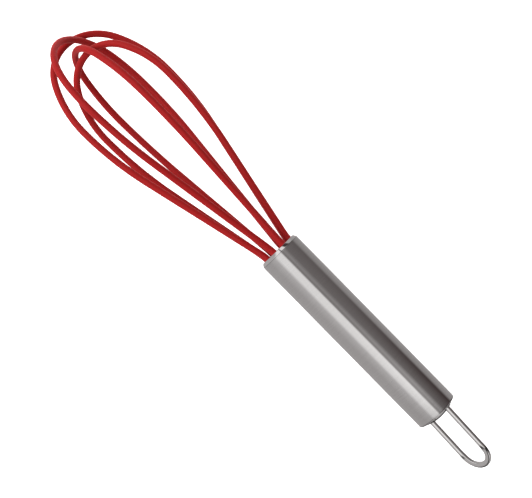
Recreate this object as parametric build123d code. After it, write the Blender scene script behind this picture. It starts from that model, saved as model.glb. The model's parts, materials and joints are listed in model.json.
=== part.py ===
"""Balloon whisk: four coated wire loops in a steel tube handle with a hanging loop. Millimetres, +Z up.

The whisk is drawn along its own axis, with the handle's mouth at 0 and the wire loops towards +Z. It is
then laid down as it rests by itself, on the rear rim of the handle and the two lowest wires, with the
wires towards +X. The origin ends up under the middle of the whole whisk, on the surface it lies on.
"""

import math
import os

from build123d import *

# Handle tube and its two end caps
TUBE_RADIUS = 9.5
TUBE_WALL = 0.7
TUBE_LENGTH = 92.0
BEVEL_WIDTH = 1.0
BEVEL_HEIGHT = 1.4
FLANGE_THICKNESS = 1.6
SPIGOT_DEPTH = 4.0
FIT_GAP = 0.02
CAP_WALL = 0.8
SKIRT_DEPTH = 5.0
DOME_HEIGHT = 2.3
RIM_ROUND = 0.65
BEVEL_ROUND = 0.25

# Coated wires and the ring of holes that they come out of
WIRE_RADIUS = 0.75
SLEEVE_RADIUS = 1.45
HOLE_CLEARANCE = 0.05
RING_RADIUS = 6.4
FIRST_HOLE = 26.0
HOLE_STEP = 45.0
RESIN_DEPTH = 20.0
EXIT_CORNER = 1.2
EXIT_BEND = 8.0

# Each loop, as it really stands after bending by hand: no two are quite alike. azimuth: the plane of its
# bulge. tilt and lean: across that plane and in it. The other sizes are the half width of the bulge and its
# height above the mouth, the height of the top, and the bend radii of the long leg and of the crown.
LOOPS = {
    "a": dict(azimuth=62, tilt=-0.5, lean=-2.5, width=24.9, bulge=90.5, top=122.7, leg=150, crown=24),
    "b": dict(azimuth=26, tilt=-3.5, lean=0.8, width=24.2, bulge=87.5, top=123, leg=146, crown=20.5),
    "c": dict(azimuth=110, tilt=-1.7, lean=-0.9, width=21.6, bulge=82.5, top=115.6, leg=170, crown=18),
    "d": dict(azimuth=150, tilt=-3.2, lean=-1.6, width=21.5, bulge=80.5, top=111.2, leg=174, crown=18.5),
}

# Hanging loop: round legs, and a bend pressed flat into a thinner, wider ribbon
HANG_WIRE_RADIUS = 1.15
HANG_HALF_WIDTH = 7.65
HANG_REACH = 30.3
HANG_AZIMUTH = -50.0
HANG_OFFSET = -0.15
HANG_LEAN = 1.9
RIBBON_WIDTH = 2.5
RIBBON_THICKNESS = 1.7
PRESS_LENGTH = 4.0
LEG_INSIDE = 5.0
LEG_OUT = HANG_HALF_WIDTH - HANG_WIRE_RADIUS
BEAD_RADIUS = 2.0
BEAD_HEIGHT = 1.3

# How the whisk lies: rolled about its own axis, and tipped up towards the wires
REST_ROLL = -1.6
REST_TILT = 3.55

REAR_RIM = -FLANGE_THICKNESS - TUBE_LENGTH
BORE_RADIUS = TUBE_RADIUS - TUBE_WALL
HOLE_RADIUS = SLEEVE_RADIUS + HOLE_CLEARANCE
RESIN_TOP = -FLANGE_THICKNESS - SPIGOT_DEPTH


def turned(outline):
    """Solid of revolution about the whisk's axis, from a closed outline of (radius, height)."""
    return revolve(Plane.XZ * make_face(outline), Axis.Z)


def ring_of_holes(radius, low, high):
    """The eight straight holes or wires of the ring, as one tool."""
    pin = Cylinder(radius, high - low, align=(Align.CENTER, Align.CENTER, Align.MIN))
    return PolarLocations(RING_RADIUS, 2 * len(LOOPS), start_angle=FIRST_HOLE) * (Pos(0, 0, low) * pin)


def handle_tube():
    """Plain welded tube, its rear rim rounded over."""
    front = -FLANGE_THICKNESS
    outline = Polyline(
        (BORE_RADIUS, front),
        (TUBE_RADIUS, front),
        (TUBE_RADIUS, REAR_RIM),
        (BORE_RADIUS, REAR_RIM),
        close=True,
    )
    tube = turned(outline)
    rim = tube.edges().filter_by(GeomType.CIRCLE).group_by(Axis.Z)[0].sort_by(SortBy.RADIUS)[-1]
    return fillet(rim, RIM_ROUND)


def front_cap():
    """Flange with a softened bevel, flush with the tube, on a spigot, with a hole for each wire."""
    spigot = BORE_RADIUS - FIT_GAP
    outline = Polyline(
        (0, 0),
        (TUBE_RADIUS - BEVEL_WIDTH, 0),
        (TUBE_RADIUS, -BEVEL_HEIGHT),
        (TUBE_RADIUS, -FLANGE_THICKNESS),
        (spigot, -FLANGE_THICKNESS),
        (spigot, RESIN_TOP),
        (0, RESIN_TOP),
        close=True,
    )
    cap = turned(outline)
    bevel = cap.edges().filter_by(GeomType.CIRCLE).filter_by_position(Axis.Z, -BEVEL_HEIGHT, 0)
    return fillet(bevel, BEVEL_ROUND) - ring_of_holes(HOLE_RADIUS, RESIN_TOP - 1, 1)


def wire_resin():
    """Cast resin plug that grips the bare wire ends inside the tube."""
    low = RESIN_TOP - RESIN_DEPTH
    plug = Cylinder(BORE_RADIUS - FIT_GAP, RESIN_DEPTH, align=(Align.CENTER, Align.CENTER, Align.MIN))
    return Pos(0, 0, low) * plug - ring_of_holes(WIRE_RADIUS + FIT_GAP, low - 1, RESIN_TOP + 1)


def half_outline(loop):
    """Corners (out, up) and bend radii of half a loop in its own plane: leg, shoulder, crown.

    The leg bends to run straight up at the bulge. The shoulder and crown arcs then meet on the
    way over to a level top on the loop's centre line.
    """
    width = loop["width"]
    rise = loop["top"] - loop["bulge"]
    shoulder = (width**2 + rise**2 - 2 * rise * loop["crown"]) / (2 * (width - loop["crown"]))
    turn = math.atan2(rise - loop["crown"], shoulder - width)
    splay = math.atan2(width - RING_RADIUS, loop["bulge"] - EXIT_CORNER)
    corners = [
        (width, loop["bulge"] - loop["leg"] * math.tan(splay / 2)),
        (width, loop["bulge"] + shoulder * math.tan(turn / 2)),
        (loop["crown"] * math.tan((math.pi / 2 - turn) / 2), loop["top"]),
    ]
    return corners, [loop["leg"], shoulder, loop["crown"]]


def loop_path(loop, depth):
    """Centre line of a loop: up one leg, over the top and down the other, to depth below the mouth.

    It comes out of the pair of holes in its own sector of the ring.
    """
    stand = Rot(0, 0, loop["azimuth"]) * Rot(loop["tilt"], 0, 0) * Rot(0, loop["lean"], 0)
    ring = Rot(0, 0, FIRST_HOLE + HOLE_STEP * (loop["azimuth"] // HOLE_STEP))
    corners, bends = half_outline(loop)
    right = [stand * Pos(out, 0, up) for out, up in corners]
    left = [stand * Pos(-out, 0, up) for out, up in reversed(corners)]
    start = [ring * Pos(RING_RADIUS, 0, up) for up in (-depth, EXIT_CORNER)]
    finish = [ring * Pos(-RING_RADIUS, 0, up) for up in (EXIT_CORNER, -depth)]
    points = [place.position for place in start + right + left + finish]
    radii = [EXIT_BEND] + bends + bends[::-1] + [EXIT_BEND]
    return FilletPolyline(*points, radius=fitted_radii(points, radii))


def fitted_radii(points, radii):
    """The wished bend radii, each cut back where two neighbours would use up their shared run."""
    runs = [(after - before).length for before, after in zip(points, points[1:])]
    ways = [(after - before).normalized() for before, after in zip(points, points[1:])]
    tangents = [math.tan(math.radians(a.get_angle(b)) / 2) for a, b in zip(ways, ways[1:])]
    used = [radius * tangent for radius, tangent in zip(radii, tangents)]
    for i, run in enumerate(runs[1:-1]):
        share = min(1, 0.995 * run / (used[i] + used[i + 1]))
        used[i] *= share
        used[i + 1] *= share
    return [length / tangent for length, tangent in zip(used, tangents)]


def swept(path, radius, bore=0):
    """Round wire along a path, or a tube if it has a bore."""
    section = Circle(radius) - Circle(bore) if bore else Circle(radius)
    return sweep(Plane(origin=path @ 0, z_dir=path % 0) * section, path=path)


def wire_core(loop):
    """Bare spring-steel wire, which reaches down through the resin."""
    return swept(loop_path(loop, -RESIN_TOP + RESIN_DEPTH), WIRE_RADIUS)


def silicone_sleeve(loop):
    """Silicone coating over the wire, from cap to cap hole."""
    return swept(loop_path(loop, -RESIN_TOP), SLEEVE_RADIUS, WIRE_RADIUS + FIT_GAP)


def hang_frame():
    """Frame of the hanging loop: X across the legs, Z along them, origin on the rear rim plane."""
    return Pos(HANG_OFFSET, 0, REAR_RIM) * Rot(0, HANG_LEAN, 0) * Rot(0, 0, HANG_AZIMUTH)


def hang_leg(side, radius, inside):
    """One straight round leg of the hanging loop, from inside the handle to where it is pressed flat."""
    low = -HANG_REACH + HANG_HALF_WIDTH + PRESS_LENGTH
    leg = Cylinder(radius, inside - low, align=(Align.CENTER, Align.CENTER, Align.MIN))
    return hang_frame() * Pos(side * LEG_OUT, 0, low) * leg


def hang_loop():
    """Bent wire eye: two round legs that flow into a flattened half ring."""
    ribbon_out = HANG_HALF_WIDTH - RIBBON_WIDTH / 2
    bend_level = -HANG_REACH + HANG_HALF_WIDTH
    flat = Ellipse(RIBBON_WIDTH / 2, RIBBON_THICKNESS / 2)
    round_wire = Circle(HANG_WIRE_RADIUS)
    pieces = [revolve(Pos(ribbon_out, 0, bend_level) * flat, Axis((0, 0, bend_level), (0, 1, 0)), 180)]
    for side in (1, -1):
        round_end = Pos(side * LEG_OUT, 0, bend_level + PRESS_LENGTH) * round_wire
        pieces.append(loft([Pos(side * ribbon_out, 0, bend_level) * flat, round_end]))
    body = Part() + [hang_frame() * piece for piece in pieces]
    return body + [hang_leg(side, HANG_WIRE_RADIUS, LEG_INSIDE) for side in (1, -1)]


def rear_cap():
    """Shallow dome on a skirt that is pressed into the tube, with a hole for each leg."""
    skirt = BORE_RADIUS - FIT_GAP
    inner = skirt - CAP_WALL
    high = REAR_RIM + SKIRT_DEPTH
    pole = REAR_RIM - DOME_HEIGHT
    outline = [
        TangentArc((0, pole), (skirt, REAR_RIM), tangent=(1, 0)),
        Polyline((skirt, REAR_RIM), (skirt, high), (inner, high), (inner, REAR_RIM + CAP_WALL)),
        TangentArc((0, pole + CAP_WALL), (inner, REAR_RIM + CAP_WALL), tangent=(1, 0)),
        Line((0, pole + CAP_WALL), (0, pole)),
    ]
    return turned(outline) - [hang_leg(side, HANG_WIRE_RADIUS + FIT_GAP, LEG_INSIDE + 1) for side in (1, -1)]


def weld_beads():
    """Weld around each leg on the inside of the rear cap."""
    inside = REAR_RIM + CAP_WALL
    cone = Cone(BEAD_RADIUS, HANG_WIRE_RADIUS, 2 * BEAD_HEIGHT)
    beads = []
    for side in (1, -1):
        place = hang_frame() * Pos(side * LEG_OUT, 0, CAP_WALL)
        bead = place * cone - rear_cap() - hang_leg(side, HANG_WIRE_RADIUS, LEG_INSIDE + 1)
        beads.append([solid for solid in bead.solids() if solid.center().Z > inside - BEAD_HEIGHT][0])
    return Part() + beads


def laid_down():
    """From the whisk's own axis to lying on a surface: wires towards +X, tipped up by the rest tilt."""
    lie = Plane(origin=(0, 0, 0), x_dir=(0, -1, 0), z_dir=(1, 0, 0))
    return Rot(0, -REST_TILT, 0) * lie.location * Rot(0, 0, REST_ROLL)


nodes = {
    "handle_tube": handle_tube(),
    "front_cap": front_cap(),
    "wire_resin": wire_resin(),
    "rear_cap": rear_cap(),
    "hang_loop": hang_loop(),
    "weld_beads": weld_beads(),
}
for name, loop in LOOPS.items():
    nodes["wire_core_" + name] = wire_core(loop)
    nodes["silicone_sleeve_" + name] = silicone_sleeve(loop)

os.makedirs("parts", exist_ok=True)
lying = {name: laid_down() * piece for name, piece in nodes.items()}
box = Compound(list(lying.values())).bounding_box()
ground = Pos(-box.center().X, -box.center().Y, -box.min.Z)
for name, piece in lying.items():
    export_step(ground * piece, f"parts/{name}.step")
print("size", box.size, "mouth centre", ground * laid_down() * Pos(0, 0, 0))
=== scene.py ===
"""Balloon whisk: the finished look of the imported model. Metres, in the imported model's frame.

Pieces are drawn on the whisk's own axes, in millimetres: X to the camera's right, Y down and away from it,
and Z from the handle's mouth to the tips of the wires. One matrix then puts them where the model lies.
"""

import json
import math

import bmesh
import bpy
import numpy as np
from mathutils import Matrix, Vector


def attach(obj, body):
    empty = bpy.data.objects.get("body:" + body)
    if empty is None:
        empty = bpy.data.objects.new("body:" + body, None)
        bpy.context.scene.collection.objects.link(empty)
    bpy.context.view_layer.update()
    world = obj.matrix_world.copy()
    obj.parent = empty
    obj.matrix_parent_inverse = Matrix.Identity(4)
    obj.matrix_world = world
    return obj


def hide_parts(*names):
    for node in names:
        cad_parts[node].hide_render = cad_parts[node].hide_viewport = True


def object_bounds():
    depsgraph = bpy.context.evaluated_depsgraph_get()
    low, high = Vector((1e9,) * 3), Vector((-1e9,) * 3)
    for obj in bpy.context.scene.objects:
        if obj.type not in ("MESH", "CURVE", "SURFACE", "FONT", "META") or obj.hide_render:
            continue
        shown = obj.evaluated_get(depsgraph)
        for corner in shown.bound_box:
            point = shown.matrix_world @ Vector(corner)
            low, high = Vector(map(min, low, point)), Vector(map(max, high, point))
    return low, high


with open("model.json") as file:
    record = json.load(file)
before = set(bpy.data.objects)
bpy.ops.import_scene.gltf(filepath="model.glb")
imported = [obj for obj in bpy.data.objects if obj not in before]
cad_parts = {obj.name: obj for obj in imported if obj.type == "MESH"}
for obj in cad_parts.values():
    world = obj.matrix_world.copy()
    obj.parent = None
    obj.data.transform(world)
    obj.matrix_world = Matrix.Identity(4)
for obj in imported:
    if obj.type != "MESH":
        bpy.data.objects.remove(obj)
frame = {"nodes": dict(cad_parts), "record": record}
cad_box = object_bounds()

MM = 0.001

# Handle tube and its end caps, as in the model
TUBE_RADIUS = 9.5
TUBE_WALL = 0.7
TUBE_LENGTH = 92.0
BEVEL_WIDTH = 1.0
BEVEL_HEIGHT = 1.4
FLANGE_THICKNESS = 1.6
SPIGOT_DEPTH = 4.0
FIT_GAP = 0.02
CAP_WALL = 0.8
SKIRT_DEPTH = 5.0
DOME_HEIGHT = 2.3
RIM_ROUND = 0.65
BEVEL_ROUND = 0.25
SEAM = 0.22
# Share of the dome's spread that its inner wall has before the skirt
INNER_DOME_SHARE = 0.88
TUBE_SIDES = 192
DOME_SIDES = 160
# Hole cutters: sides, how far they stand out past the face they cut, and the length of those for the legs
CUTTER_SIDES = 40
CUTTER_PAST = 1
LEG_CUTTER_LENGTH = 20
BORE_RADIUS = TUBE_RADIUS - TUBE_WALL
REAR_RIM = -FLANGE_THICKNESS - TUBE_LENGTH
RESIN_TOP = -FLANGE_THICKNESS - SPIGOT_DEPTH

# Coated wires
SLEEVE_RADIUS = 1.45
HOLE_RADIUS = 1.5
RING_RADIUS = 6.4
FIRST_HOLE = 26.0
HOLE_STEP = 45.0
EXIT_CORNER = 1.2
EXIT_BEND = 8.0
LOOPS = {
    "a": dict(azimuth=62, tilt=-0.5, lean=-2.5, width=24.9, bulge=90.5, top=122.7, leg=150, crown=24),
    "b": dict(azimuth=26, tilt=-3.5, lean=0.8, width=24.2, bulge=87.5, top=123, leg=146, crown=20.5),
    "c": dict(azimuth=110, tilt=-1.7, lean=-0.9, width=21.6, bulge=82.5, top=115.6, leg=170, crown=18),
    "d": dict(azimuth=150, tilt=-3.2, lean=-1.6, width=21.5, bulge=80.5, top=111.2, leg=174, crown=18.5),
}
PATH_STEP = 0.8
PATH_SOFTENING = 1.5
BEND_POINTS = 60
SLEEVE_SIDES = 24
# Wander of the coating's thickness along the wire: a slow wave and a quick one, as shares of its radius
SLOW_WANDER = 0.006
SLOW_LENGTH = 9.0
QUICK_WANDER = 0.004
QUICK_LENGTH = 3.7

# Hanging loop
HANG_WIRE_RADIUS = 1.15
HANG_HALF_WIDTH = 7.65
HANG_REACH = 30.3
HANG_AZIMUTH = -50.0
HANG_OFFSET = -0.15
HANG_LEAN = 1.9
HANG_INSIDE = 5.0
HANG_STEPS = 360
HANG_SIDES = 32
RIBBON_WIDTH = 2.5
RIBBON_THICKNESS = 1.7
# The press: the length over which the wire turns flat, how much of that lies in the bend, and its squareness
PRESS_LENGTH = 3.5
PRESS_INSIDE = 1.0
PRESS_SQUARENESS = 1.6

# How many degrees the whisk has rolled about its own axis to lie still
REST_ROLL = -1.6
# Camera: its place on the whisk's own axes, its turn about the line of sight in degrees, and its lens
VIEW_RIGHT = -3.3
VIEW_DISTANCE = 505.0
VIEW_ALONG = 3.5
PICTURE_TURN = 44.5
LENS = 83.0
# Floor: half its side in metres, and its own glow
FLOOR_HALF = 3.0
FLOOR_GLOW = 0.97


def whisk_frame():
    """Matrix from the whisk's own axes, in metres, to the model's frame."""
    grip = next(m for m in frame["record"]["mounts"] if m["name"] == "handle_grip")
    along = -Vector(grip["axis"]).normalized()
    right = Vector((0, -1, 0))
    down = along.cross(right)
    roll = math.radians(REST_ROLL)
    turned_right = math.cos(roll) * right + math.sin(roll) * down
    turned_down = -math.sin(roll) * right + math.cos(roll) * down
    mouth = Vector(grip["pos_m"]) + along * ((TUBE_LENGTH - RIM_ROUND) / 2 + FLANGE_THICKNESS) * MM
    turn = Matrix((turned_right, turned_down, along)).transposed().to_4x4()
    return Matrix.Translation(mouth) @ turn


WHISK = whisk_frame()


# ---------------------------------------------------------------- camera, floor and light

def add_camera():
    """Camera square to the whisk, above its mouth, turned so that the whisk lies across the picture."""
    data = bpy.data.cameras.new("camera")
    data.lens = LENS
    camera = bpy.data.objects.new("camera", data)
    bpy.context.scene.collection.objects.link(camera)
    turn = math.radians(PICTURE_TURN)
    right = Vector((math.cos(turn), 0, -math.sin(turn)))
    up = Vector((math.sin(turn), 0, math.cos(turn)))
    back = right.cross(up)
    place = Matrix((right, up, back)).transposed().to_4x4()
    place.translation = Vector((VIEW_RIGHT, -VIEW_DISTANCE, VIEW_ALONG)) * MM
    camera.matrix_world = WHISK @ place
    data.clip_start = 0.01
    data.clip_end = 50
    bpy.context.scene.camera = camera


def add_floor():
    """Pale, softly glowing floor at the model's base. Only the camera sees it, so light reaches every side."""
    mesh = bpy.data.meshes.new("floor")
    level = cad_box[0][2]
    corners = [(x * FLOOR_HALF, y * FLOOR_HALF, level) for x, y in ((-1, -1), (1, -1), (1, 1), (-1, 1))]
    mesh.from_pydata(corners, [], [(0, 1, 2, 3)])
    floor = bpy.data.objects.new("floor", mesh)
    bpy.context.scene.collection.objects.link(floor)
    made = Shader("floor", Base_Color=(0.9, 0.9, 0.9, 1), Roughness=0.9, Specular_IOR_Level=0.1,
                  Emission_Color=(1, 1, 1, 1), Emission_Strength=FLOOR_GLOW)
    mesh.materials.append(made.material)
    for rays in ("diffuse", "glossy", "transmission", "shadow"):
        setattr(floor, "visible_" + rays, False)


# Plain studio cards round the whisk's axis: degrees from straight above it, and grey levels over the mouth
# and over the rear. A pale card on the left, a bright one above, dark cloth on the right, a grey card beyond.
STUDIO = [
    (-180, 0.5, 0.5),
    (-80, 0.5, 0.5),
    (-45, 0.65, 0.65),
    (-30, 1.1, 1.1),
    (-3, 1.1, 1.3),
    (5, 0.25, 0.4),
    (18, 0.35, 0.5),
    (35, 0.2, 0.2),
    (88, 0.15, 0.05),
    (105, 0.35, 0.35),
    (180, 0.5, 0.5),
]
# Warm tinge of the room, added to the cards' red
WARMTH = 0.02
# Directions by how far they point along the whisk, 1 towards the tips and -1 towards the rear: where the rear
# levels of the cards hold, where the far end starts and is full, and where the dark end behind the handle
# starts and is full, and then is full and ends
REAR_VIEW = -0.2
FAR_VIEW = (0.62, 0.68)
DARK_VIEW = ((-0.25, -0.35), (-0.56, -0.66))
DARK_END = (0.03, 0.027, 0.027)
# The end of the studio beyond the wires, which the bevel shows: a bright card with a gap, then dark cloth
FAR_END = [
    (-60, 0.5),
    (-35, 1.1),
    (3, 1.1),
    (6, 0.05),
    (12, 0.05),
    (16, 1.0),
    (54, 1.0),
    (58, 0.05),
    (88, 0.05),
    (92, 0.5),
]
# Area lights on the whisk's own axes: name, place and side in metres, power in watts. A soft key from beyond
# the tips, a fill from above, and one low on the right that catches the wires' far edges.
LIGHTS = [
    ("key", (-0.6, -0.6, 0.55), 0.7, 5.4),
    ("fill", (0.25, -1.0, 0.4), 1.4, 3.9),
    ("rim", (0.7, 0.6, 0.3), 1.4, 7.6),
]
LIT_POINT = (0, 0, 0.02)


def add_world():
    """Soft cards laid round the whisk's axis, a bright end card beyond the wires and a dark one behind the
    handle. The camera itself sees plain white."""
    world = bpy.data.worlds.new("studio")
    world.use_nodes = True
    bpy.context.scene.world = world
    tree = world.node_tree

    def node(kind, settings, *values):
        made = tree.nodes.new(kind)
        for key, value in settings.items():
            setattr(made, key, value)
        for socket, value in zip(made.inputs, values):
            if isinstance(value, bpy.types.NodeSocket):
                tree.links.new(value, socket)
            elif value is not None:
                socket.default_value = value
        return made

    def way(direction):
        made = node("ShaderNodeVectorMath", {"operation": "DOT_PRODUCT"}, place, direction[:3])
        return made.outputs["Value"]

    def share(value, start, end):
        return node("ShaderNodeMapRange", {}, value, start, end).outputs["Result"]

    def blend(factor, first, second):
        made = node("ShaderNodeMix", {"data_type": "RGBA"}, factor)
        for socket, colour in ((made.inputs[6], first), (made.inputs[7], second)):
            if isinstance(colour, bpy.types.NodeSocket):
                tree.links.new(colour, socket)
            else:
                socket.default_value = (*colour, 1)
        return made.outputs[2]

    def cards(angle, stops):
        made = node("ShaderNodeValToRGB", {}, angle)
        ramp = made.color_ramp
        while len(ramp.elements) < len(stops):
            ramp.elements.new(1.0)
        for element, (degrees, grey) in zip(ramp.elements, stops):
            element.position = (degrees + 180) / 360
            element.color = (grey + WARMTH, grey, grey, 1)
        return made.outputs["Color"]

    place = tree.nodes.new("ShaderNodeTexCoord").outputs["Generated"]
    across, above, along = way(WHISK.col[0]), way(-WHISK.col[1]), way(WHISK.col[2])
    turn = node("ShaderNodeMath", {"operation": "ARCTAN2"}, across, above).outputs[0]
    angle = share(turn, -math.pi, math.pi)
    over_mouth = cards(angle, [(degrees, mouth) for degrees, mouth, rear in STUDIO])
    over_rear = cards(angle, [(degrees, rear) for degrees, mouth, rear in STUDIO])
    far_end = cards(angle, FAR_END)
    studio = blend(share(along, 0, REAR_VIEW), over_mouth, over_rear)
    studio = blend(share(along, *FAR_VIEW), studio, far_end)
    (start, full), (still_full, end) = DARK_VIEW
    shares = share(along, start, full), share(along, end, still_full)
    behind = node("ShaderNodeMath", {"operation": "MULTIPLY"}, *shares)
    studio = blend(behind.outputs[0], studio, DARK_END)
    seen = tree.nodes.new("ShaderNodeLightPath").outputs["Is Camera Ray"]
    tree.links.new(blend(seen, studio, (1, 1, 1)), tree.nodes["Background"].inputs["Color"])


def add_lights():
    """Large area lights aimed at the whisk. They leave no reflection of their own."""
    for name, place, side, power in LIGHTS:
        data = bpy.data.lights.new(name, "AREA")
        data.shape = "RECTANGLE"
        data.size = data.size_y = side
        data.energy = power
        lamp = bpy.data.objects.new(name, data)
        bpy.context.scene.collection.objects.link(lamp)
        lamp.location = WHISK @ Vector(place)
        lamp.rotation_mode = "QUATERNION"
        lamp.rotation_quaternion = (lamp.location - WHISK @ Vector(LIT_POINT)).to_track_quat("Z", "Y")
        lamp.visible_glossy = False
        lamp.visible_camera = False


# ---------------------------------------------------------------- mesh tools

def add_piece(name, node, mesh, material):
    """A finished piece that stands for a CAD node, from a mesh drawn in millimetres on the whisk's axes."""
    mesh.transform(WHISK @ Matrix.Scale(MM, 4))
    piece = bpy.data.objects.new(name, mesh)
    bpy.context.scene.collection.objects.link(piece)
    mesh.materials.append(material)
    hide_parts(node)
    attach(piece, "root")
    return piece


def mesh_from(name, work, sharp_degrees=40):
    """Mesh data from a bmesh, shaded smooth except across edges sharper than given."""
    bmesh.ops.recalc_face_normals(work, faces=work.faces)
    for face in work.faces:
        face.smooth = True
    for edge in work.edges:
        edge.smooth = edge.calc_face_angle(0) < math.radians(sharp_degrees)
    mesh = bpy.data.meshes.new(name)
    work.to_mesh(mesh)
    work.free()
    return mesh


def lathe(profile, sides):
    """Closed solid of revolution about Z from a closed profile of (radius, height). Radius 0 is the axis."""
    work = bmesh.new()
    rings = []
    for radius, height in profile:
        if radius == 0:
            rings.append([work.verts.new((0, 0, height))] * sides)
            continue
        turns = [math.tau * i / sides for i in range(sides)]
        rings.append([work.verts.new((radius * math.cos(t), radius * math.sin(t), height)) for t in turns])
    for low, high in zip(rings, rings[1:] + rings[:1]):
        for i in range(sides):
            j = (i + 1) % sides
            corners = list(dict.fromkeys((low[i], low[j], high[j], high[i])))
            if len(corners) > 2:
                work.faces.new(corners)
    return work


def arc(centre, radius, start, end, steps):
    """Points of (radius, height) along an arc, angles in degrees."""
    turns = np.radians(np.linspace(start, end, steps + 1))
    return [(centre[0] + radius * math.cos(t), centre[1] + radius * math.sin(t)) for t in turns]


def drill(piece, cutter_mesh):
    """Cuts holes through a piece with closed cutters on the same axes, and applies the cut."""
    cutter_mesh.transform(WHISK @ Matrix.Scale(MM, 4))
    cutter = bpy.data.objects.new("cutter", cutter_mesh)
    bpy.context.scene.collection.objects.link(cutter)
    cut = piece.modifiers.new("holes", "BOOLEAN")
    cut.operation = "DIFFERENCE"
    cut.solver = "EXACT"
    cut.object = cutter
    bpy.context.view_layer.update()
    done = bpy.data.meshes.new_from_object(piece.evaluated_get(bpy.context.evaluated_depsgraph_get()))
    piece.modifiers.clear()
    piece.data = done
    bpy.data.objects.remove(cutter)


def sweep(centres, sections, firsts):
    """Closed solid through rings of section points.

    centres: (n, 3) points of the path. sections: (n, m, 2) outline points at each. firsts: (n, 3)
    direction of each section's first axis, square to the path.
    """
    along = np.gradient(centres, axis=0)
    along /= np.linalg.norm(along, axis=1, keepdims=True)
    firsts = firsts - along * (firsts * along).sum(1, keepdims=True)
    firsts /= np.linalg.norm(firsts, axis=1, keepdims=True)
    seconds = np.cross(along, firsts)
    points = centres[:, None] + sections[:, :, :1] * firsts[:, None] + sections[:, :, 1:] * seconds[:, None]
    work = bmesh.new()
    rings = [[work.verts.new(p) for p in ring] for ring in points]
    sides = len(rings[0])
    for low, high in zip(rings, rings[1:]):
        for i in range(sides):
            j = (i + 1) % sides
            work.faces.new((low[i], low[j], high[j], high[i]))
    work.faces.new(rings[0][::-1])
    work.faces.new(rings[-1])
    return work


# ---------------------------------------------------------------- wire loops

def spin(axis, degrees):
    """Rotation about one of the axes."""
    return Matrix.Rotation(math.radians(degrees), 3, axis)


def loop_corners(loop, depth):
    """The model's own corner points and bend radii of one loop, down both legs to depth."""
    width = loop["width"]
    rise = loop["top"] - loop["bulge"]
    shoulder = (width**2 + rise**2 - 2 * rise * loop["crown"]) / (2 * (width - loop["crown"]))
    turn = math.atan2(rise - loop["crown"], shoulder - width)
    splay = math.atan2(width - RING_RADIUS, loop["bulge"] - EXIT_CORNER)
    half = [
        (width, loop["bulge"] - loop["leg"] * math.tan(splay / 2)),
        (width, loop["bulge"] + shoulder * math.tan(turn / 2)),
        (loop["crown"] * math.tan((math.pi / 2 - turn) / 2), loop["top"]),
    ]
    stand = spin("Z", loop["azimuth"]) @ spin("X", loop["tilt"]) @ spin("Y", loop["lean"])
    ring = spin("Z", FIRST_HOLE + HOLE_STEP * (loop["azimuth"] // HOLE_STEP))
    right = [stand @ Vector((out, 0, up)) for out, up in half]
    left = [stand @ Vector((-out, 0, up)) for out, up in reversed(half)]
    start = [ring @ Vector((RING_RADIUS, 0, up)) for up in (-depth, EXIT_CORNER)]
    finish = [ring @ Vector((-RING_RADIUS, 0, up)) for up in (EXIT_CORNER, -depth)]
    bends = [loop["leg"], shoulder, loop["crown"]]
    return start + right + left + finish, [EXIT_BEND] + bends + bends[::-1] + [EXIT_BEND]


def bent_line(corners, radii):
    """Even points along straight runs joined by tangent arcs, then softened so that the bend flows."""
    runs = [(b - a).length for a, b in zip(corners, corners[1:])]
    ways = [(b - a).normalized() for a, b in zip(corners, corners[1:])]
    turns = [a.angle(b) for a, b in zip(ways, ways[1:])]
    used = [radius * math.tan(turn / 2) for radius, turn in zip(radii, turns)]
    for i, run in enumerate(runs[1:-1]):
        share = min(1, run / (used[i] + used[i + 1]))
        used[i] *= share
        used[i + 1] *= share
    points = [corners[0]]
    for corner, before, after, turn, reach in zip(corners[1:], ways, ways[1:], turns, used):
        radius = reach / math.tan(turn / 2)
        centre = corner + (after - before).normalized() * math.hypot(reach, radius)
        start = corner - before * reach - centre
        for t in np.linspace(0, turn, BEND_POINTS):
            points.append(centre + start * math.cos(t) + before * radius * math.sin(t))
    points.append(corners[-1])
    line = np.array([tuple(p) for p in points])
    travelled = np.concatenate([[0], np.cumsum(np.linalg.norm(np.diff(line, axis=0), axis=1))])
    even = np.linspace(0, travelled[-1], int(travelled[-1] / PATH_STEP))
    line = np.stack([np.interp(even, travelled, line[:, k]) for k in range(3)], 1)
    return softened(line, PATH_SOFTENING / PATH_STEP)


def softened(line, spread):
    """The line averaged over a bell of the given spread in points, its straight ends kept."""
    reach = int(4 * spread)
    bell = np.exp(-0.5 * (np.arange(-reach, reach + 1) / spread) ** 2)
    bell /= bell.sum()
    steps = np.arange(1, reach + 1)[:, None]
    before = line[0] + (line[0] - line[1]) * steps[::-1]
    after = line[-1] + (line[-1] - line[-2]) * steps
    padded = np.concatenate([before, line, after])
    return np.stack([np.convolve(padded[:, k], bell, "valid") for k in range(3)], 1)


def add_sleeve(name, loop, material):
    """Silicone coating of one loop, its thickness wandering by a hair as extruded tube does."""
    corners, radii = loop_corners(loop, -RESIN_TOP)
    line = bent_line(corners, radii)
    travelled = np.arange(len(line)) * PATH_STEP
    slow = SLOW_WANDER * np.sin(travelled / SLOW_LENGTH + loop["azimuth"])
    wander = 1 + slow + QUICK_WANDER * np.sin(travelled / QUICK_LENGTH)
    turns = np.arange(SLEEVE_SIDES) * math.tau / SLEEVE_SIDES
    circle = np.stack([np.cos(turns), np.sin(turns)], 1)
    sections = SLEEVE_RADIUS * wander[:, None, None] * circle[None]
    across = spin("Z", loop["azimuth"]) @ Vector((0, 1, 0))
    firsts = np.tile(np.array(across), (len(line), 1))
    mesh = mesh_from("silicone_sleeve_" + name, sweep(line, sections, firsts), 60)
    return add_piece("coated_wire_" + name, "silicone_sleeve_" + name, mesh, material)


# ---------------------------------------------------------------- handle

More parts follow.
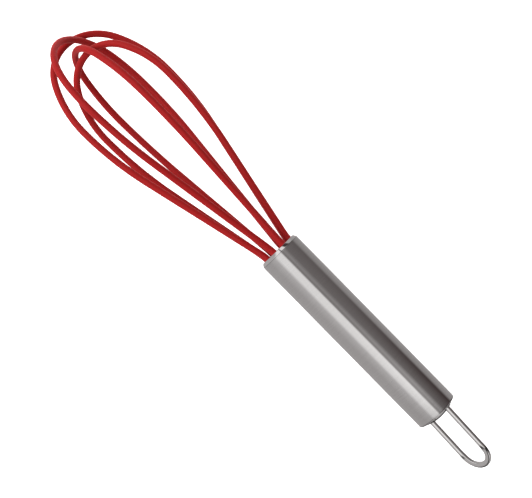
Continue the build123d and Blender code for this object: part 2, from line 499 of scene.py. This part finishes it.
def add_tube(material):
    """Handle tube: its rear rim rounded over, its front rim broken where it meets the cap."""
    front = -FLANGE_THICKNESS
    profile = arc((TUBE_RADIUS - SEAM, front - SEAM), SEAM, 90, 0, 5)
    profile += arc((TUBE_RADIUS - RIM_ROUND, REAR_RIM + RIM_ROUND), RIM_ROUND, 0, -90, 10)
    profile += [(BORE_RADIUS, REAR_RIM), (BORE_RADIUS, front)]
    mesh = mesh_from("handle_tube", lathe(profile, TUBE_SIDES))
    return add_piece("brushed_tube", "handle_tube", mesh, material)


def round_cutters(places, radius, length):
    """Closed round cutters, each about the middle and along the Z axis of its place."""
    work = bmesh.new()
    for place in places:
        bmesh.ops.create_cone(work, cap_ends=True, segments=CUTTER_SIDES, radius1=radius, radius2=radius,
                              depth=length, matrix=place)
    mesh = bpy.data.meshes.new("cutters")
    work.to_mesh(mesh)
    work.free()
    return mesh


def ring_places(level):
    """Places of the eight wire holes at one level."""
    turns = [math.radians(FIRST_HOLE + HOLE_STEP * i) for i in range(2 * len(LOOPS))]
    return [Matrix.Translation((RING_RADIUS * math.cos(t), RING_RADIUS * math.sin(t), level)) for t in turns]


def add_front_cap(material):
    """Bevelled cap with rounded bevel edges and the wire holes drilled through."""
    spigot = BORE_RADIUS - FIT_GAP
    bevel_top = (TUBE_RADIUS - BEVEL_WIDTH, 0)
    bevel_low = (TUBE_RADIUS, -BEVEL_HEIGHT)
    profile = [(0, 0)]
    profile += rounded_corner((0, 0), bevel_top, bevel_low, BEVEL_ROUND)
    profile += rounded_corner(bevel_top, bevel_low, (TUBE_RADIUS, -FLANGE_THICKNESS), BEVEL_ROUND / 2)
    profile += [(TUBE_RADIUS - SEAM / 2, -FLANGE_THICKNESS)]
    profile += [(spigot, -FLANGE_THICKNESS), (spigot, RESIN_TOP), (0, RESIN_TOP)]
    mesh = mesh_from("front_cap", lathe(profile, TUBE_SIDES))
    piece = add_piece("bevelled_cap", "front_cap", mesh, material)
    drill(piece, round_cutters(ring_places(RESIN_TOP / 2), HOLE_RADIUS, 2 * CUTTER_PAST - RESIN_TOP))
    return piece


def rounded_corner(before, corner, after, reach):
    """Points of a smooth bend that leaves the run before a corner and joins the run after it."""
    start, at, end = (np.array(p, float) for p in (before, corner, after))
    leave = at + (start - at) / np.linalg.norm(start - at) * reach
    join = at + (end - at) / np.linalg.norm(end - at) * reach
    steps = np.linspace(0, 1, 7)[:, None]
    bend = (1 - steps) ** 2 * leave + 2 * steps * (1 - steps) * at + steps**2 * join
    return [tuple(p) for p in bend]


def hang_turn():
    """Rotation from the hanging loop's own axes to the whisk's."""
    return spin("Y", HANG_LEAN) @ spin("Z", HANG_AZIMUTH)


def hang_place(point):
    """From the hanging loop's own axes, X across its legs and Z up the whisk from its rim, to the whisk's."""
    return Vector((HANG_OFFSET, 0, REAR_RIM)) + hang_turn() @ Vector(point)


def add_rear_cap(material):
    """Shallow dome with its skirt, and a hole for each leg of the hanging loop."""
    skirt = BORE_RADIUS - FIT_GAP
    inner = skirt - CAP_WALL
    sphere = (skirt**2 + DOME_HEIGHT**2) / (2 * DOME_HEIGHT)
    edge = math.degrees(math.asin(skirt / sphere))
    centre = (0, REAR_RIM - DOME_HEIGHT + sphere)
    outer_dome = arc(centre, sphere, -90, -90 + edge, 16)
    inner_dome = arc(centre, sphere - CAP_WALL, -90 + edge * INNER_DOME_SHARE, -90, 16)
    outer_dome[0] = (0, outer_dome[0][1])
    inner_dome[-1] = (0, inner_dome[-1][1])
    profile = outer_dome + [(skirt, REAR_RIM + SKIRT_DEPTH), (inner, REAR_RIM + SKIRT_DEPTH)] + inner_dome
    mesh = mesh_from("rear_cap", lathe(profile, DOME_SIDES))
    piece = add_piece("domed_cap", "rear_cap", mesh, material)
    leg = HANG_HALF_WIDTH - HANG_WIRE_RADIUS
    places = [Matrix.Translation(hang_place((x, 0, 0))) @ hang_turn().to_4x4() for x in (leg, -leg)]
    drill(piece, round_cutters(places, HANG_WIRE_RADIUS + FIT_GAP, LEG_CUTTER_LENGTH))
    return piece


def smooth_step(value):
    """0 below 0, 1 above 1, and a smooth rise between."""
    t = np.clip(value, 0, 1)
    return t * t * (3 - 2 * t)


def add_hang_loop(material):
    """Bent wire eye: round legs that are pressed flat through the bend."""
    bend_level = -HANG_REACH + HANG_HALF_WIDTH
    leg_length = HANG_INSIDE - bend_level
    bend_length = math.pi * (HANG_HALF_WIDTH - HANG_WIRE_RADIUS)
    travelled = np.linspace(0, 2 * leg_length + bend_length, HANG_STEPS)
    around = np.clip((travelled - leg_length) / bend_length, 0, 1) * math.pi
    from_bend = np.maximum(leg_length - travelled, travelled - leg_length - bend_length)
    pressed = 1 - smooth_step((from_bend + PRESS_INSIDE) / PRESS_LENGTH)
    half_width = HANG_WIRE_RADIUS + pressed * (RIBBON_WIDTH / 2 - HANG_WIRE_RADIUS)
    half_thick = HANG_WIRE_RADIUS + pressed * (RIBBON_THICKNESS / 2 - HANG_WIRE_RADIUS)
    out = HANG_HALF_WIDTH - half_width
    straight = np.maximum(from_bend, 0)
    across = out * np.cos(around)
    along = bend_level + straight - out * np.sin(around)
    turn = np.array(hang_turn())
    zero = np.zeros_like(across)
    centres = np.stack([across, zero, along], 1) @ turn.T + np.array([HANG_OFFSET, 0, REAR_RIM])
    firsts = np.stack([np.cos(around), zero, -np.sin(around)], 1) @ turn.T
    turns = np.arange(HANG_SIDES) * math.tau / HANG_SIDES
    power = (2 / (2 + PRESS_SQUARENESS * pressed))[:, None]
    wide = half_width[:, None] * np.sign(np.cos(turns)) * np.abs(np.cos(turns)) ** power
    thick = half_thick[:, None] * np.sign(np.sin(turns)) * np.abs(np.sin(turns)) ** power
    mesh = mesh_from("hang_loop", sweep(centres, np.stack([wide, thick], 2), firsts), 60)
    return add_piece("hanging_loop", "hang_loop", mesh, material)


# ---------------------------------------------------------------- materials

# The values that noise mostly stays between
NOISE_LOW = 0.25
NOISE_HIGH = 0.75


class Shader:
    """A Principled material being built, with short ways to add nodes and links."""

    def __init__(self, name, **values):
        self.material = bpy.data.materials.new(name)
        self.material.use_nodes = True
        self.tree = self.material.node_tree
        self.surface = self.tree.nodes["Principled BSDF"]
        for socket, value in values.items():
            self.surface.inputs[socket.replace("_", " ")].default_value = value

    def add(self, kind, settings=None, **inputs):
        """New node with its settings and plain input values; an output given as an input is linked."""
        node = self.tree.nodes.new(kind)
        for key, value in (settings or {}).items():
            setattr(node, key, value)
        for key, value in inputs.items():
            socket = node.inputs[key.replace("_", " ")]
            if isinstance(value, bpy.types.NodeSocket):
                self.tree.links.new(value, socket)
            else:
                socket.default_value = value
        return node

    def link(self, output, socket):
        """Feeds one of the surface's sockets."""
        self.tree.links.new(output, self.surface.inputs[socket])

    def place(self, scale):
        """Points of the piece on the whisk's own axes, in metres, times a scale for each axis."""
        back = WHISK.inverted()
        at = self.add("ShaderNodeTexCoord").outputs["Object"]
        own = self.add("ShaderNodeMapping", Vector=at, Rotation=back.to_euler(), Location=back.translation)
        return self.add("ShaderNodeMapping", Vector=own.outputs["Vector"], Scale=scale).outputs["Vector"]

    def noise(self, scale, detail):
        """Noise with features of about 1 / scale metres along each axis."""
        return self.add("ShaderNodeTexNoise", Vector=self.place(scale), Scale=1.0, Detail=detail,
                        Roughness=0.55).outputs["Fac"]

    def spread(self, value, low, high):
        """A noise value stretched to run from low to high."""
        node = self.add("ShaderNodeMapRange", Value=value)
        node.inputs["From Min"].default_value = NOISE_LOW
        node.inputs["From Max"].default_value = NOISE_HIGH
        node.inputs["To Min"].default_value = low
        node.inputs["To Max"].default_value = high
        return node.outputs["Result"]

    def blend(self, share, first, second):
        """Colour between two colours."""
        node = self.add("ShaderNodeMix", {"data_type": "RGBA"})
        self.tree.links.new(share, node.inputs["Factor"])
        for index, colour in ((6, first), (7, second)):
            if isinstance(colour, bpy.types.NodeSocket):
                self.tree.links.new(colour, node.inputs[index])
            else:
                node.inputs[index].default_value = (*colour, 1)
        return node.outputs[2]

    def bump(self, height, distance):
        """Bumps from a height value, distance in metres."""
        return self.add("ShaderNodeBump", Height=height, Distance=distance, Strength=1.0).outputs["Normal"]


def brushed_steel():
    """Stainless tube ground round and round: fine rings, a few deeper ones, and faint hand marks."""
    made = Shader("stainless_brushed", Metallic=1.0, Anisotropic=0.7)
    rings = made.noise((90, 90, 5200), 4)
    coarse = made.noise((30, 30, 900), 2)
    marks = made.noise((120, 120, 60), 3)
    colour = made.blend(made.spread(rings, 0, 1), (0.56, 0.555, 0.55), (0.63, 0.625, 0.62))
    made.link(made.blend(made.spread(marks, 0, 0.25), colour, (0.56, 0.55, 0.54)), "Base Color")
    made.link(made.spread(coarse, 0.08, 0.12), "Roughness")
    made.link(made.bump(rings, 0.002 * MM), "Normal")
    along = dict(zip("XYZ", WHISK.col[2]))
    made.link(made.add("ShaderNodeCombineXYZ", **along).outputs["Vector"], "Tangent")
    return made.material


def polished_steel():
    """Bright steel with faint handling haze and hairline scratches."""
    made = Shader("stainless_polished", Metallic=1.0)
    haze = made.noise((160, 160, 160), 4)
    hairs = made.noise((2600, 2600, 300), 2)
    made.link(made.blend(made.spread(haze, 0, 1), (0.66, 0.65, 0.64), (0.72, 0.715, 0.71)), "Base Color")
    made.link(made.spread(haze, 0.05, 0.11), "Roughness")
    made.link(made.bump(hairs, 0.002 * MM), "Normal")
    return made.material


def red_silicone():
    """Smooth satin silicone: slight mottling in depth of colour and a fine matt skin."""
    made = Shader("silicone_red", IOR=1.41, Specular_IOR_Level=0.2, Sheen_Weight=0.7, Sheen_Roughness=0.5,
                  Sheen_Tint=(1.0, 0.12, 0.12, 1))
    cloud = made.noise((60, 60, 60), 3)
    skin = made.noise((2500, 2500, 2500), 2)
    colour = made.blend(made.spread(cloud, 0, 1), (0.36, 0.011, 0.011), (0.39, 0.013, 0.013))
    made.link(colour, "Base Color")
    made.link(made.spread(cloud, 0.42, 0.50), "Roughness")
    made.link(made.bump(skin, 0.003 * MM), "Normal")
    return made.material


def drawn_wire():
    """Drawn spring steel, satin with die lines."""
    made = Shader("spring_steel", Metallic=1.0)
    lines = made.noise((3000, 3000, 200), 2)
    made.link(made.blend(made.spread(lines, 0, 1), (0.42, 0.42, 0.42), (0.52, 0.52, 0.52)), "Base Color")
    made.link(made.spread(lines, 0.28, 0.4), "Roughness")
    return made.material


def cast_resin():
    """Cloudy cast resin with small bubbles."""
    made = Shader("resin", Roughness=0.6)
    cloud = made.noise((300, 300, 300), 4)
    made.link(made.blend(made.spread(cloud, 0, 1), (0.66, 0.62, 0.54), (0.78, 0.75, 0.68)), "Base Color")
    made.link(made.bump(cloud, 0.05 * MM), "Normal")
    return made.material


def dress(node, material):
    """Gives a CAD node that stays its finished material."""
    for slot in frame["nodes"][node].material_slots:
        slot.material = material


# ---------------------------------------------------------------- the whisk

bpy.context.scene.view_settings.view_transform = "Standard"
add_camera()
add_floor()
add_world()
add_lights()

brushed = brushed_steel()
polished = polished_steel()
silicone = red_silicone()
spring = drawn_wire()
resin = cast_resin()

add_tube(brushed)
add_front_cap(polished)
add_rear_cap(polished)
add_hang_loop(polished)
for name, loop in LOOPS.items():
    add_sleeve(name, loop, silicone)
    dress("wire_core_" + name, spring)
dress("weld_beads", spring)
dress("wire_resin", resin)
